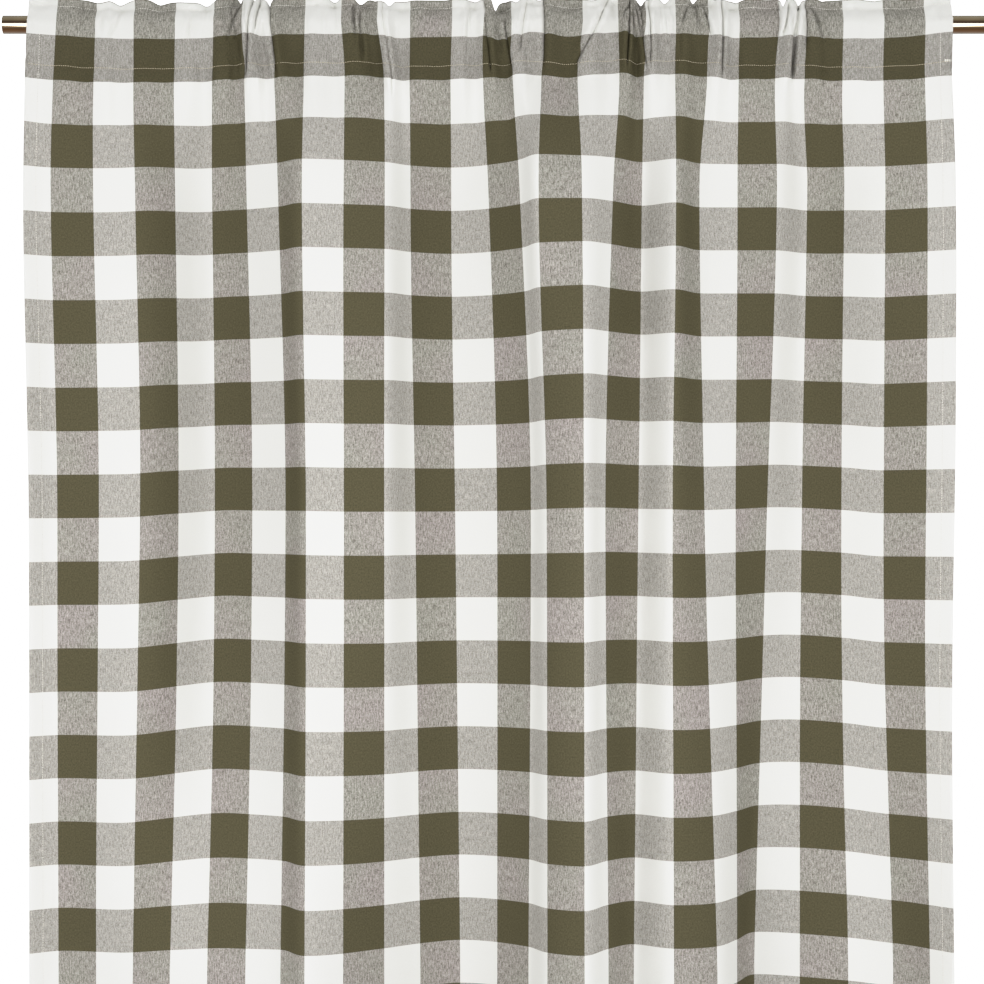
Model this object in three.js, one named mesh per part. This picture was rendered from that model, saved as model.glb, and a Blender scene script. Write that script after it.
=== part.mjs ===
// A checked cotton curtain, gathered on a plain round rod by the pocket sewn along its top
// Sizes are millimetres: X runs along the rod, Y from the room to the wall, Z up from the rod's axis
import * as THREE from "three";

// Rod
const rodLength = 1216;
const rodRadius = 11.15;
const rodSides = 32;

// Cloth: one check is the side of one woven square, and the panel's left edge falls part way across a check
const check = 53.2;
const checksAcross = 26.3;
const firstCheck = 0.65;
const clothThickness = 1.6;
const sideHem = 15;
const bottomHem = 80;
const hemExtraThickness = 1;

// Heading: two rows of stitches close the pocket, and the header stands above the upper one
const headerTop = 28;
const headerWave = { height: 3, quick: 4.1, slow: 1.3 };
const headerStitch = 20.5;
const pocketStitch = -51;
const rodClearance = 0.7;
const rufflesEnd = -190;
const fullLength = 2400;

// Heights below the rod's axis at which the fold lines are measured
const acrossHeights = [70, 200, 600, 1150];
const outHeights = [70, 200, 500, 800, 1150];

// Fold lines from the left edge to the right. check: where the line runs in the cloth, in checks.
// across: how far along the rod it hangs, at each of the acrossHeights and so on down to the hem.
// out: how far it stands into the room, at each of the outHeights, from flat on the rod
const foldLines = [
  { check: 0.0, across: [-581, -582, -577, -579], out: [0, 7, 0, -9, -19] },
  { check: 0.65, across: [-547, -551, -546, -546], out: [0, -5, -22, -26, -34] },
  { check: 2.65, across: [-449, -446, -441, -449], out: [0, 7, -3, 12, 6] },
  { check: 4.65, across: [-353, -359, -357, -356], out: [0, -55, -71, -50, 30] },
  { check: 6.65, across: [-277, -273, -264, -267], out: [0, -4, -12, 0, 34] },
  { check: 7.65, across: [-241, -241, -236, -235], out: [0, 36, 35, 46, 76] },
  { check: 9.65, across: [-143, -142, -142, -143], out: [0, 13, 29, 22, 8] },
  { check: 10.65, across: [-112, -112, -106, -100], out: [0, -18, -17, -16, -27] },
  { check: 11.65, across: [-62, -62, -57, -51], out: [0, -42, -39, -40, -50] },
  { check: 13.65, across: [14, 22, 36, 33], out: [0, 18, 16, 15, 15] },
  { check: 14.65, across: [49, 44, 54, 55], out: [0, 66, 66, 67, 66] },
  { check: 15.65, across: [93, 96, 97, 98], out: [0, 56, 100, 101, 96] },
  { check: 16.65, across: [144, 135, 124, 128], out: [0, 24, 53, 54, 50] },
  { check: 17.65, across: [174, 172, 166, 161], out: [0, -9, 17, 16, 7] },
  { check: 18.65, across: [212, 211, 205, 208], out: [0, 29, 55, 50, 34] },
  { check: 19.65, across: [251, 242, 246, 262], out: [0, -10, 12, 22, 14] },
  { check: 21.65, across: [334, 340, 329, 316], out: [0, -38, -50, -60, -77] },
  { check: 22.65, across: [370, 381, 376, 371], out: [0, -67, -82, -82, -60] },
  { check: 24.65, across: [466, 470, 471, 483], out: [0, -11, -26, -40, -33] },
  { check: 26.3, across: [550, 552, 549, 546], out: [0, 12, 22, 10, 34] },
];

// How far the woven rows hang below level from side to side, at the outHeights of 0.2 m and 1.15 m
const sagLines = [
  { check: 0.0, upper: 4, low: 12 },
  { check: 2.65, upper: 7, low: 7 },
  { check: 4.65, upper: -3, low: -2 },
  { check: 8.65, upper: 0, low: 1 },
  { check: 12.65, upper: -1, low: -1 },
  { check: 16.65, upper: -4, low: -5 },
  { check: 19.65, upper: -1, low: -2 },
  { check: 22.65, upper: -6, low: -8 },
  { check: 24.65, upper: 2, low: 1 },
  { check: 26.3, upper: 0, low: 3 },
];

// Below the part measured the folds wander a little on their way to the hem
const wander = { across: 7, acrossTurn: 0.9, out: 0.12, outTurn: 0.7 };

// Heights at which the solid has a row of corners, above the pocket's lower stitches and below them
const pocketRows = [12.5, 5, -0.25, -14, -32];
const tailRows = [62, 95, 140, 210, 310, 450, 620, 780, 920, 1060, 1200, 1750];

const smoothStep = (from, to, value) => THREE.MathUtils.smoothstep(value, from, to);

// A smooth curve through the points that never swings past them
function smoothThrough(places, values) {
  const last = places.length - 1;
  const rise = [];
  for (let k = 0; k < last; k += 1) {
    rise.push((values[k + 1] - values[k]) / (places[k + 1] - places[k]));
  }
  const slope = values.map((value, k) => {
    if (k === 0) return rise[0];
    if (k === last) return rise[last - 1];
    if (rise[k - 1] * rise[k] <= 0) return 0;
    return (2 * rise[k - 1] * rise[k]) / (rise[k - 1] + rise[k]);
  });
  return (place) => {
    const clamped = THREE.MathUtils.clamp(place, places[0], places[last]);
    let k = 0;
    while (k < last - 1 && clamped > places[k + 1]) k += 1;
    const span = places[k + 1] - places[k];
    const t = (clamped - places[k]) / span;
    const near = (1 + 2 * t) * (1 - t) ** 2 * values[k] + t * (1 - t) ** 2 * span * slope[k];
    const far = t * t * (3 - 2 * t) * values[k + 1] - t * t * (1 - t) * span * slope[k + 1];
    return near + far;
  };
}

// The whole panel's folds at one height below the rod's axis, as functions of the place in checks
const foldPlaces = foldLines.map((line) => line.check);
const lineAcross = foldLines.map((line) => smoothThrough(acrossHeights, line.across));
const lineOut = foldLines.map((line) => smoothThrough(outHeights, line.out));
const sagPlaces = sagLines.map((line) => line.check);
const upperSag = smoothThrough(sagPlaces, sagLines.map((line) => line.upper));
const lowSag = smoothThrough(sagPlaces, sagLines.map((line) => line.low));

function foldsAt(drop) {
  const [, highest] = outHeights;
  const lowest = outHeights[outHeights.length - 1];
  const below = smoothStep(lowest, fullLength, drop);
  const across = smoothThrough(foldPlaces, lineAcross.map((line) => line(drop)));
  const out = smoothThrough(foldPlaces, lineOut.map((line) => line(drop)));
  const share = THREE.MathUtils.clamp((drop - highest) / (lowest - highest), 0, 1);
  const clearOfRod = smoothStep(-pocketRows[3], tailRows[0], drop);
  return {
    across: (place) => across(place) + below * wander.across * Math.sin(place * wander.acrossTurn),
    out: (place) => out(place) * (1 + below * wander.out * Math.cos(place * wander.outTurn)),
    sag: (place) => clearOfRod * THREE.MathUtils.lerp(upperSag(place), lowSag(place), share),
  };
}

// At the rod each check stands in a ruffle that takes up the cloth the folds don't use there
const heading = foldsAt(0);

function ruffle(place) {
  const shown = heading.across(place + 0.5) - heading.across(place - 0.5);
  const inside = place > firstCheck && place < checksAcross - firstCheck;
  const width = inside ? Math.min(shown, check) : check;
  const height = (width / Math.PI) * Math.sqrt(check / width - 1);
  return height * Math.sin(2 * Math.PI * (place - firstCheck));
}

const ruffleShare = (z) => 1 - smoothStep(-pocketStitch, -rufflesEnd, -z);

// How far each layer of the pocket stands from the rod's axis: straight from the stitches to the rod, and
// round the rod on flats that clear it
const halfLayer = clothThickness / 2;
const flatAngle = { lower: -1.2, upper: 24.5 };
const seamInset = 2;
const halfFlat = (flatAngle.upper - flatAngle.lower) / 2;
const roundRod = (rodRadius + rodClearance) / Math.cos(THREE.MathUtils.degToRad(halfFlat));
const pocketFloor = pocketStitch + seamInset;
const pocketRoof = headerStitch - seamInset;
const pocketCorners = [
  { z: pocketFloor, depth: 0 },
  ...[flatAngle.lower, flatAngle.upper].map((angle) => ({
    z: roundRod * Math.sin(THREE.MathUtils.degToRad(angle)),
    depth: roundRod * Math.cos(THREE.MathUtils.degToRad(angle)),
  })),
  { z: pocketRoof, depth: 0 },
];

function pocketDepth(z) {
  const k = pocketCorners.findIndex((corner) => corner.z >= z);
  if (k <= 0) return 0;
  const below = pocketCorners[k - 1];
  const above = pocketCorners[k];
  return THREE.MathUtils.mapLinear(z, below.z, above.z, below.depth, above.depth);
}

// Beside the rod a ruffle can only push its own layer away from the rod
function besideRod(z) {
  if (z > 0) return 1 - smoothStep(pocketRows[0], headerStitch, z);
  return 1 - THREE.MathUtils.clamp((pocketRows[3] - z) / (pocketRows[3] - pocketStitch), 0, 1);
}

// One point of the cloth. side is -1 on the face towards the room and 1 towards the wall, layer says which
// layer of the pocket it belongs to in the same way, and 0 is the single cloth above and below the pocket
function clothPoint(place, z, layer, side, thickness) {
  const folds = foldsAt(Math.max(-z, 0));
  const out = (p) => {
    const free = folds.out(p) + ruffle(p) * ruffleShare(z);
    if (layer === 0) return free;
    const pushed = layer < 0 ? Math.max(free, 0) : Math.min(free, 0);
    return THREE.MathUtils.lerp(free, pushed, besideRod(z)) - layer * (pocketDepth(z) + halfLayer);
  };
  const step = 0.04;
  const run = new THREE.Vector2(
    folds.across(place + step) - folds.across(place - step),
    out(place + step) - out(place - step),
  ).normalize();
  const shift = -side * thickness;
  return new THREE.Vector3(
    folds.across(place) - run.y * shift,
    -(out(place) + run.x * shift),
    z - folds.sag(place),
  );
}

// Columns of corners: three to a check, and one on each side of the side hem's stitches
const hemPlace = sideHem / check;
const hemStep = 0.03;
const columnsPerCheck = 3;
const wholeChecks = Math.round(checksAcross - 2 * firstCheck);
const columns = [0, hemPlace, hemPlace + hemStep];
for (let k = 0; k <= wholeChecks * columnsPerCheck; k += 1) {
  columns.push(firstCheck + k / columnsPerCheck);
}
columns.push(checksAcross - hemPlace - hemStep, checksAcross - hemPlace, checksAcross);

// Rows of corners down the face of the panel and up its back
const hemTop = fullLength - bottomHem;
const hemEdge = 3;
const lowRows = [...tailRows, hemTop - hemEdge, hemTop, fullLength].map((drop) => -drop);

function headerEdge(place) {
  const wave = Math.sin(place * headerWave.quick) * Math.cos(place * headerWave.slow);
  return headerTop + headerWave.height * wave;
}

function sectionRows(place) {
  const inHem = place <= hemPlace || place >= checksAcross - hemPlace;
  const headerRows = [headerEdge(place), headerStitch];
  const backing = (z) => halfLayer + (inHem || z <= -hemTop ? hemExtraThickness : 0);
  const front = [
    ...headerRows.map((z) => clothPoint(place, z, 0, -1, clothThickness)),
    ...pocketRows.map((z) => clothPoint(place, z, -1, -1, halfLayer)),
    clothPoint(place, pocketStitch, 0, -1, halfLayer),
    ...lowRows.map((z) => clothPoint(place, z, 0, -1, halfLayer)),
  ];
  const back = [
    ...headerRows.map((z) => clothPoint(place, z, 0, 1, clothThickness)),
    ...pocketRows.map((z) => clothPoint(place, z, 1, 1, halfLayer)),
    clothPoint(place, pocketStitch, 0, 1, halfLayer),
    ...lowRows.map((z) => clothPoint(place, z, 0, 1, backing(z))),
  ];
  const roof = clothPoint(place, pocketRoof, 0, 0, 0);
  const floor = clothPoint(place, pocketFloor, 0, 0, 0);
  const insideFront = pocketRows.map((z) => clothPoint(place, z, -1, 1, halfLayer));
  const insideBack = pocketRows.map((z) => clothPoint(place, z, 1, -1, halfLayer));
  return { front, back, insideFront: [roof, ...insideFront, floor], insideBack };
}

// Corners are numbered column by column: down the front, up the back, then round the inside of the pocket
const sections = columns.map(sectionRows);
const frontCount = sections[0].front.length;
const outerCount = frontCount * 2;
const pocketCount = pocketRows.length;
const innerCount = pocketCount * 2 + 2;
const cornersPerColumn = outerCount + innerCount;
const corner = (column, row) => column * cornersPerColumn + row;
const triangles = [];

function facing(forward, a, b, c) {
  if (forward) triangles.push(a, b, c);
  else triangles.push(a, c, b);
}

// A closed ring of rows swept from the panel's left edge to its right edge
function sweep(firstRow, rowCount, forward) {
  for (let column = 0; column < columns.length - 1; column += 1) {
    for (let k = 0; k < rowCount; k += 1) {
      const row = firstRow + k;
      const next = firstRow + ((k + 1) % rowCount);
      const a = corner(column, row);
      const b = corner(column, next);
      const c = corner(column + 1, next);
      const d = corner(column + 1, row);
      facing(forward, a, b, c);
      facing(forward, a, c, d);
    }
  }
}

// A strip that closes the panel's side edge between two lines of rows
function closeEdge(column, forward, nearRows, farRows) {
  for (let k = 0; k < nearRows.length - 1; k += 1) {
    const a = corner(column, nearRows[k]);
    const b = corner(column, nearRows[k + 1]);
    const c = corner(column, farRows[k + 1]);
    const d = corner(column, farRows[k]);
    if (b !== c) facing(forward, a, b, c);
    if (a !== d) facing(forward, a, c, d);
  }
}

function closeSide(column, forward) {
  const front = Array.from({ length: frontCount }, (_, k) => k);
  const back = front.map((k) => outerCount - 1 - k);
  const top = outerCount;
  const bottom = outerCount + pocketCount + 1;
  const insideFront = Array.from({ length: pocketCount + 2 }, (_, k) => top + k);
  const insideBack = Array.from({ length: pocketCount }, (_, k) => top + innerCount - 1 - k);
  const upper = 1;
  const lower = upper + pocketCount + 1;
  closeEdge(column, forward, front.slice(0, upper + 1), back.slice(0, upper + 1));
  closeEdge(column, forward, front.slice(upper, lower + 1), insideFront);
  closeEdge(column, forward, [top, ...insideBack, bottom], back.slice(upper, lower + 1));
  facing(forward, corner(column, front[upper]), corner(column, top), corner(column, back[upper]));
  facing(forward, corner(column, front[lower]), corner(column, back[lower]), corner(column, bottom));
  closeEdge(column, forward, front.slice(lower), back.slice(lower));
}

function panelGeometry() {
  const positions = [];
  for (const section of sections) {
    const points = [
      ...section.front,
      ...section.back.toReversed(),
      ...section.insideFront,
      ...section.insideBack.toReversed(),
    ];
    for (const point of points) positions.push(...point.toArray());
  }
  sweep(0, outerCount, true);
  sweep(outerCount, innerCount, false);
  closeSide(0, false);
  closeSide(columns.length - 1, true);
  const geometry = new THREE.BufferGeometry();
  geometry.setAttribute("position", new THREE.Float32BufferAttribute(positions, 3));
  geometry.setIndex(triangles);
  geometry.computeVertexNormals();
  return geometry;
}

const cottonCheck = new THREE.MeshStandardMaterial({ color: 0x95927f, roughness: 0.95, metalness: 0 });
const panel = new THREE.Mesh(panelGeometry(), cottonCheck);
panel.name = "curtain_panel";

const bronze = new THREE.MeshStandardMaterial({ color: 0x7a5640, roughness: 0.3, metalness: 0.85 });
const rod = new THREE.Mesh(new THREE.CylinderGeometry(rodRadius, rodRadius, rodLength, rodSides), bronze);
rod.name = "curtain_rod";
rod.rotation.z = Math.PI / 2;

const curtain = new THREE.Group();
curtain.add(rod, panel);

export default curtain;
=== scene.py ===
import math
from bisect import bisect_right
from functools import lru_cache

import bmesh
import bpy
from mathutils import Matrix, Vector, noise


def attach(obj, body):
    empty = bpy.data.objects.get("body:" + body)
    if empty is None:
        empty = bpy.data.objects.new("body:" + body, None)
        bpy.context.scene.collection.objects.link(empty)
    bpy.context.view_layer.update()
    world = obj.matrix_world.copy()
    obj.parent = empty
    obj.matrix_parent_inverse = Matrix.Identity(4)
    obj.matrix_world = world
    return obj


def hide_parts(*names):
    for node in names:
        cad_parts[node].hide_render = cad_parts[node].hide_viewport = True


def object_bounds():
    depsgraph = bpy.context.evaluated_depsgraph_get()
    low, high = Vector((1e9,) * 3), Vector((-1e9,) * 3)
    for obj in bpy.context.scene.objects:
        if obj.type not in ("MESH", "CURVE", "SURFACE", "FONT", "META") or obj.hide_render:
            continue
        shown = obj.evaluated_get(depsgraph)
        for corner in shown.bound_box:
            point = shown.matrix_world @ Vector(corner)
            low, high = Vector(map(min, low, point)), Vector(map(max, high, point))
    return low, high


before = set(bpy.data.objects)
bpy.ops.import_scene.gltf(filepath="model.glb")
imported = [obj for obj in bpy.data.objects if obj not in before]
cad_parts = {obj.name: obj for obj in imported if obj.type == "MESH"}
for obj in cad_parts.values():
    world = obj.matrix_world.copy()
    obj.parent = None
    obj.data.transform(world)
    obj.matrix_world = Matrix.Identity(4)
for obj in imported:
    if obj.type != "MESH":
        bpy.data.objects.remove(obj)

cad_low, cad_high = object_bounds()
MM = 0.001

# Camera
# The curtain is seen square on through a long lens that takes in the rod and the upper half of the cloth,
# from about the height of the middle of what it takes in. Sizes are pixels of the square picture until the
# scale turns them into millimetres.
picture = 984
mm_per_pixel = 1.22
lens_pixels = 2600
level_pixel = 539.4
rod_pixel = 24.75
middle_mm = -11.6
sensor_mm = 36.0

camera_data = bpy.data.cameras.new("camera")
camera_data.sensor_width = sensor_mm
camera_data.lens = sensor_mm * lens_pixels / picture
camera_data.shift_y = (level_pixel - picture / 2) / picture
camera_data.clip_end = 100
camera = bpy.data.objects.new("camera", camera_data)
camera_height_mm = (rod_pixel - level_pixel) * mm_per_pixel
camera.location = Vector((middle_mm, -lens_pixels * mm_per_pixel, camera_height_mm)) * MM
camera.rotation_euler = (math.radians(90), 0, 0)
bpy.context.scene.collection.objects.link(camera)
bpy.context.scene.camera = camera

# Floor and light
# A pale studio: an even white surround, a long soft lamp in front, and a pale floor a little below the hem.
# The surround is brighter where it is seen directly than where it lights the cloth, so that it stays white.
# The second lamp and the surround's darker bands are there in reflections only, so mostly on the rod.
floor_gap_mm = 30
floor_size = 10.0
floor_colour = (0.92, 0.92, 0.915, 1)
surround_seen = 2.0
surround_light = 0.84
# How strong the surround is in reflections, by how steeply they rise: 0 is level and 1 straight up
surround_gloss = [
    {"rise": 0.0, "strength": 0.45},
    {"rise": 0.20, "strength": 0.26},
    {"rise": 0.50, "strength": 0.30},
    {"rise": 0.62, "strength": 0.42},
    {"rise": 0.78, "strength": 0.72},
    {"rise": 0.92, "strength": 0.92},
]
lamps = [
    {"name": "front_lamp", "place": (0, -1.2, -0.68), "size": (3.2, 0.3), "watts": 13.5, "gloss_only": False},
    {"name": "rod_lamp", "place": (0, -3.0, -0.95), "size": (5.4, 2.64), "watts": 443, "gloss_only": True},
]

# How light each amount of light is shown, from black at 0 to white at 1
picture_tone = [
    {"light": 0.0, "shown": 0.0},
    {"light": 0.12, "shown": 0.118},
    {"light": 0.45, "shown": 0.45},
    {"light": 0.75, "shown": 0.735},
    {"light": 0.95, "shown": 0.853},
    {"light": 1.15, "shown": 0.91},
    {"light": 1.5, "shown": 0.985},
    {"light": 2.0, "shown": 1.0},
]
view = bpy.context.scene.view_settings
view.view_transform = "Standard"
view.use_curve_mapping = True
brightest = picture_tone[-1]["light"]
view.curve_mapping.white_level = (brightest, brightest, brightest)
tone = view.curve_mapping.curves[3]
for step in picture_tone[1:-1]:
    tone.points.new(step["light"] / brightest, step["shown"])
view.curve_mapping.update()

world = bpy.data.worlds.new("surround")
world.use_nodes = True
tree = world.node_tree
path = tree.nodes.new("ShaderNodeLightPath")
direction = tree.nodes.new("ShaderNodeTexCoord")
split = tree.nodes.new("ShaderNodeSeparateXYZ")
tree.links.new(direction.outputs["Generated"], split.inputs[0])
gloss = tree.nodes.new("ShaderNodeValToRGB")
gloss.color_ramp.elements.remove(gloss.color_ramp.elements[1])
for number, step in enumerate(surround_gloss):
    stop = gloss.color_ramp.elements[0] if number == 0 else gloss.color_ramp.elements.new(step["rise"])
    stop.position = step["rise"]
    stop.color = (step["strength"], step["strength"], step["strength"], 1)
tree.links.new(split.outputs["Z"], gloss.inputs[0])
lit = tree.nodes.new("ShaderNodeMix")
lit.data_type = "RGBA"
lit.inputs[6].default_value = (surround_light, surround_light, surround_light, 1)
tree.links.new(path.outputs["Is Glossy Ray"], lit.inputs[0])
tree.links.new(gloss.outputs[0], lit.inputs[7])
seen = tree.nodes.new("ShaderNodeMix")
seen.data_type = "RGBA"
seen.inputs[7].default_value = (surround_seen, surround_seen, surround_seen, 1)
tree.links.new(path.outputs["Is Camera Ray"], seen.inputs[0])
tree.links.new(lit.outputs[2], seen.inputs[6])
tree.links.new(seen.outputs[2], tree.nodes["Background"].inputs["Color"])
bpy.context.scene.world = world

for lamp in lamps:
    data = bpy.data.lights.new(lamp["name"], "AREA")
    data.shape = "RECTANGLE"
    data.size, data.size_y = lamp["size"]
    data.energy = lamp["watts"]
    light = bpy.data.objects.new(lamp["name"], data)
    light.location = lamp["place"]
    light.visible_diffuse = not lamp["gloss_only"]
    light.visible_glossy = lamp["gloss_only"]
    aim = Vector((0, 0, lamp["place"][2])) - light.location
    light.rotation_euler = aim.to_track_quat("-Z", "Y").to_euler()
    light.visible_camera = False
    bpy.context.scene.collection.objects.link(light)


def piece_from(bm, name, smooth=True):
    """Turns a finished bmesh into an object at the origin."""
    for face in bm.faces:
        face.smooth = smooth
    mesh = bpy.data.meshes.new(name)
    bm.to_mesh(mesh)
    bm.free()
    piece = bpy.data.objects.new(name, mesh)
    bpy.context.scene.collection.objects.link(piece)
    return piece


def new_material(name):
    """A node material, with its tree and its shader."""
    material = bpy.data.materials.new(name)
    material.use_nodes = True
    return material, material.node_tree, material.node_tree.nodes["Principled BSDF"]


def add_node(tree, kind, settings=None, **inputs):
    """A node with its settings and its inputs, each either a value or another node's output."""
    node = tree.nodes.new("ShaderNode" + kind)
    for name, value in (settings or {}).items():
        setattr(node, name, value)
    for name, value in inputs.items():
        socket = node.inputs[int(name[1:])] if name[1:].isdigit() else node.inputs[name]
        if isinstance(value, bpy.types.NodeSocket):
            tree.links.new(value, socket)
        else:
            socket.default_value = value
    return node


def calculate(tree, operation, first, second=0.0, third=0.0):
    """One step of arithmetic in a material."""
    return add_node(tree, "Math", {"operation": operation}, _0=first, _1=second, _2=third).outputs[0]


def mix_colours(tree, share, near, far):
    """Two colours mixed by a share from 0 to 1."""
    return add_node(tree, "Mix", {"data_type": "RGBA"}, _0=share, _6=near, _7=far).outputs[2]


def multiply_colours(tree, colour, tone):
    """A colour made lighter or darker by another colour or a value."""
    settings = {"data_type": "RGBA", "blend_type": "MULTIPLY"}
    return add_node(tree, "Mix", settings, _0=1.0, _6=colour, _7=tone).outputs[2]


bm = bmesh.new()
bmesh.ops.create_grid(bm, x_segments=1, y_segments=1, size=floor_size / 2)
bmesh.ops.translate(bm, verts=bm.verts, vec=(0, 0, cad_low.z - floor_gap_mm * MM))
floor = piece_from(bm, "floor", smooth=False)
floor_paint, tree, shader = new_material("floor_paint")
shader.inputs["Base Color"].default_value = floor_colour
shader.inputs["Roughness"].default_value = 0.9
floor.data.materials.append(floor_paint)

# Rod
# A straight steel tube with a polished bronze finish, cut square, with a plug pressed into each end. Its
# colour is painted by height with reflections: greyer on top, a redder copper below, and a painted darker
# line on each side of its highlight.
# It slides through the pocket at the top of the cloth.
rod_length = 1216
rod_radius = 11.15
rod_sides = 96
edge_round = 0.35
plug_inset = 1.2
plug_depth = 1.6
# height: from the lowest line of the rod, 0, to its highest, 1; colour: the bronze at that height, with its
# painted reflections
bronze_painted_reflections = [
    {"height": 0.00, "colour": (0.340, 0.270, 0.210, 1)},
    {"height": 0.04, "colour": (0.260, 0.180, 0.125, 1)},
    {"height": 0.08, "colour": (0.180, 0.100, 0.056, 1)},
    {"height": 0.13, "colour": (0.157, 0.080, 0.039, 1)},
    {"height": 0.20, "colour": (0.112, 0.056, 0.024, 1)},
    {"height": 0.26, "colour": (0.170, 0.112, 0.066, 1)},
    {"height": 0.34, "colour": (0.340, 0.250, 0.165, 1)},
    {"height": 0.50, "colour": (0.310, 0.220, 0.155, 1)},
    {"height": 0.58, "colour": (0.190, 0.130, 0.083, 1)},
    {"height": 0.65, "colour": (0.260, 0.196, 0.117, 1)},
    {"height": 0.80, "colour": (0.232, 0.193, 0.125, 1)},
    {"height": 0.92, "colour": (0.300, 0.252, 0.170, 1)},
]

bm = bmesh.new()
along_rod = Matrix.Rotation(math.radians(90), 4, "Y")
bmesh.ops.create_cone(
    bm, cap_ends=True, segments=rod_sides, radius1=rod_radius * MM, radius2=rod_radius * MM,
    depth=rod_length * MM, matrix=along_rod,
)
ends = [face for face in bm.faces if len(face.verts) > 4]
bmesh.ops.inset_individual(bm, faces=ends, thickness=plug_inset * MM, depth=0)
bmesh.ops.inset_individual(bm, faces=ends, thickness=edge_round * MM / 2, depth=-plug_depth * MM)
bm.normal_update()
rims = [edge for edge in bm.edges if abs(edge.verts[0].co.x - edge.verts[1].co.x) < 1e-6]
rims = [edge for edge in rims if edge.calc_face_angle() > 1]
bmesh.ops.bevel(
    bm, geom=rims, offset=edge_round * MM, offset_type="OFFSET", segments=2, profile=0.5, affect="EDGES",
    material=-1,
)
rod = piece_from(bm, "rod")
rod.data.set_sharp_from_angle(angle=math.radians(40))

bronze, tree, shader = new_material("polished_bronze_painted_reflections")
place = add_node(tree, "TexCoord").outputs["Object"]
height = add_node(tree, "SeparateXYZ", _0=place).outputs["Z"]
share = add_node(tree, "MapRange", None, _0=height, _1=-rod_radius * MM, _2=rod_radius * MM).outputs[0]
# Painted reflections: the base colour follows the height on the rod, with the reflected bands and the darker
# lines beside the highlight painted in
painted_reflection_ramp = add_node(tree, "ValToRGB", None, _0=share)
painted_reflection_ramp.color_ramp.elements.remove(painted_reflection_ramp.color_ramp.elements[1])
for number, band in enumerate(bronze_painted_reflections):
    stop = painted_reflection_ramp.color_ramp.elements[0] if number == 0 else painted_reflection_ramp.color_ramp.elements.new(band["height"])
    stop.position = band["height"]
    stop.color = band["colour"]
drawn = add_node(tree, "Mapping", None, _0=place, _3=(6, 900, 900)).outputs[0]
brushing = add_node(tree, "TexNoise", None, Vector=drawn, Scale=1.0, Detail=4.0).outputs["Fac"]
wear = add_node(tree, "TexNoise", None, Vector=place, Scale=55.0, Detail=5.0).outputs["Fac"]
tone = add_node(tree, "MapRange", None, _0=wear, _1=0.3, _2=0.7, _3=0.9, _4=1.08).outputs[0]
toned = multiply_colours(tree, painted_reflection_ramp.outputs[0], tone)
tree.links.new(toned, shader.inputs["Base Color"])
rough = add_node(tree, "MapRange", None, _0=brushing, _1=0.3, _2=0.7, _3=0.04, _4=0.08).outputs[0]
tree.links.new(rough, shader.inputs["Roughness"])
shader.inputs["Metallic"].default_value = 1.0
bump = add_node(tree, "Bump", None, Height=brushing, Strength=0.05, Distance=0.0002).outputs[0]
tree.links.new(bump, shader.inputs["Normal"])
rod.data.materials.append(bronze)
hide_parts("curtain_rod")
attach(rod, "root")

# Curtain panel
# One rectangle of yarn-dyed cotton. Its top is turned to the back and stitched twice, which makes a small
# standing header and the pocket for the rod, and its sides and foot are hemmed. The cloth is gathered on
# the rod, so it stands in ruffles there, which open into long soft folds below. Sizes are millimetres, and
# checks for places in the cloth.
check_mm = 53.2
check_height = 53.05
checks_across = 26.3
first_check = 0.65
first_row = -68
rod_row = -16
cloth_thickness = 0.9
layer_gap = 0.1
side_hem = 17
bottom_hem = 80
foot_round = 1.5
header_top = 30.5
header_stitch = 20.5
pocket_stitch = -51
turned_edge = -57
layers_meet = -90
ruffles_end = -190
full_length = 2400
rod_clearance = 0.4

# Each fold line has its place in the cloth, how far along the rod it hangs at each of the across heights,
# and how far it stands into the room at each of the out heights
across_heights = [0, 70, 200, 600, 1150]
out_heights = [70, 200, 500, 800, 1150]
fold_lines = [
    {"check": 0.0, "across": [-576, -581, -582, -577, -579], "out": [0, 7, 0, -9, -19]},
    {"check": 0.65, "across": [-541, -547, -551, -546, -546], "out": [0, -5, -22, -26, -34]},
    {"check": 2.65, "across": [-447, -449, -446, -441, -449], "out": [0, 7, -3, 12, 6]},
    {"check": 4.65, "across": [-350, -353, -359, -357, -356], "out": [0, -55, -71, -50, 30]},
    {"check": 6.65, "across": [-281, -277, -273, -264, -267], "out": [0, -4, -12, 0, 34]},
    {"check": 7.65, "across": [-239, -241, -241, -236, -235], "out": [0, 36, 35, 46, 76]},
    {"check": 9.65, "across": [-151, -143, -142, -142, -143], "out": [0, 13, 29, 22, 8]},
    {"check": 10.65, "across": [-111, -112, -112, -106, -100], "out": [0, -18, -17, -16, -27]},
    {"check": 11.65, "across": [-60, -62, -62, -57, -51], "out": [0, -42, -39, -40, -50]},
    {"check": 13.65, "across": [12, 14, 22, 36, 33], "out": [0, 18, 16, 15, 15]},
    {"check": 14.65, "across": [51, 49, 44, 54, 55], "out": [0, 66, 66, 67, 66]},
    {"check": 15.65, "across": [99, 93, 96, 97, 98], "out": [0, 56, 100, 101, 96]},
    {"check": 16.65, "across": [142, 144, 135, 124, 128], "out": [0, 24, 53, 54, 50]},
    {"check": 17.65, "across": [175, 174, 172, 166, 161], "out": [0, -9, 17, 16, 7]},
    {"check": 18.65, "across": [212, 212, 211, 205, 208], "out": [0, 29, 55, 50, 34]},
    {"check": 19.65, "across": [252, 251, 242, 246, 262], "out": [0, -10, 12, 22, 14]},
    {"check": 20.65, "across": [289.5, 289.5, 290, 287, 290], "out": [0, -24, -19, -19, -32]},
    {"check": 21.65, "across": [338, 334, 340, 329, 316], "out": [0, -38, -50, -60, -77]},
    {"check": 22.65, "across": [371, 370, 381, 376, 371], "out": [0, -67, -82, -82, -60]},
    {"check": 24.65, "across": [465, 466, 470, 471, 483], "out": [0, -11, -26, -40, -33]},
    {"check": 26.3, "across": [548, 550, 552, 549, 546], "out": [0, 12, 22, 10, 34]},
]
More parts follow.
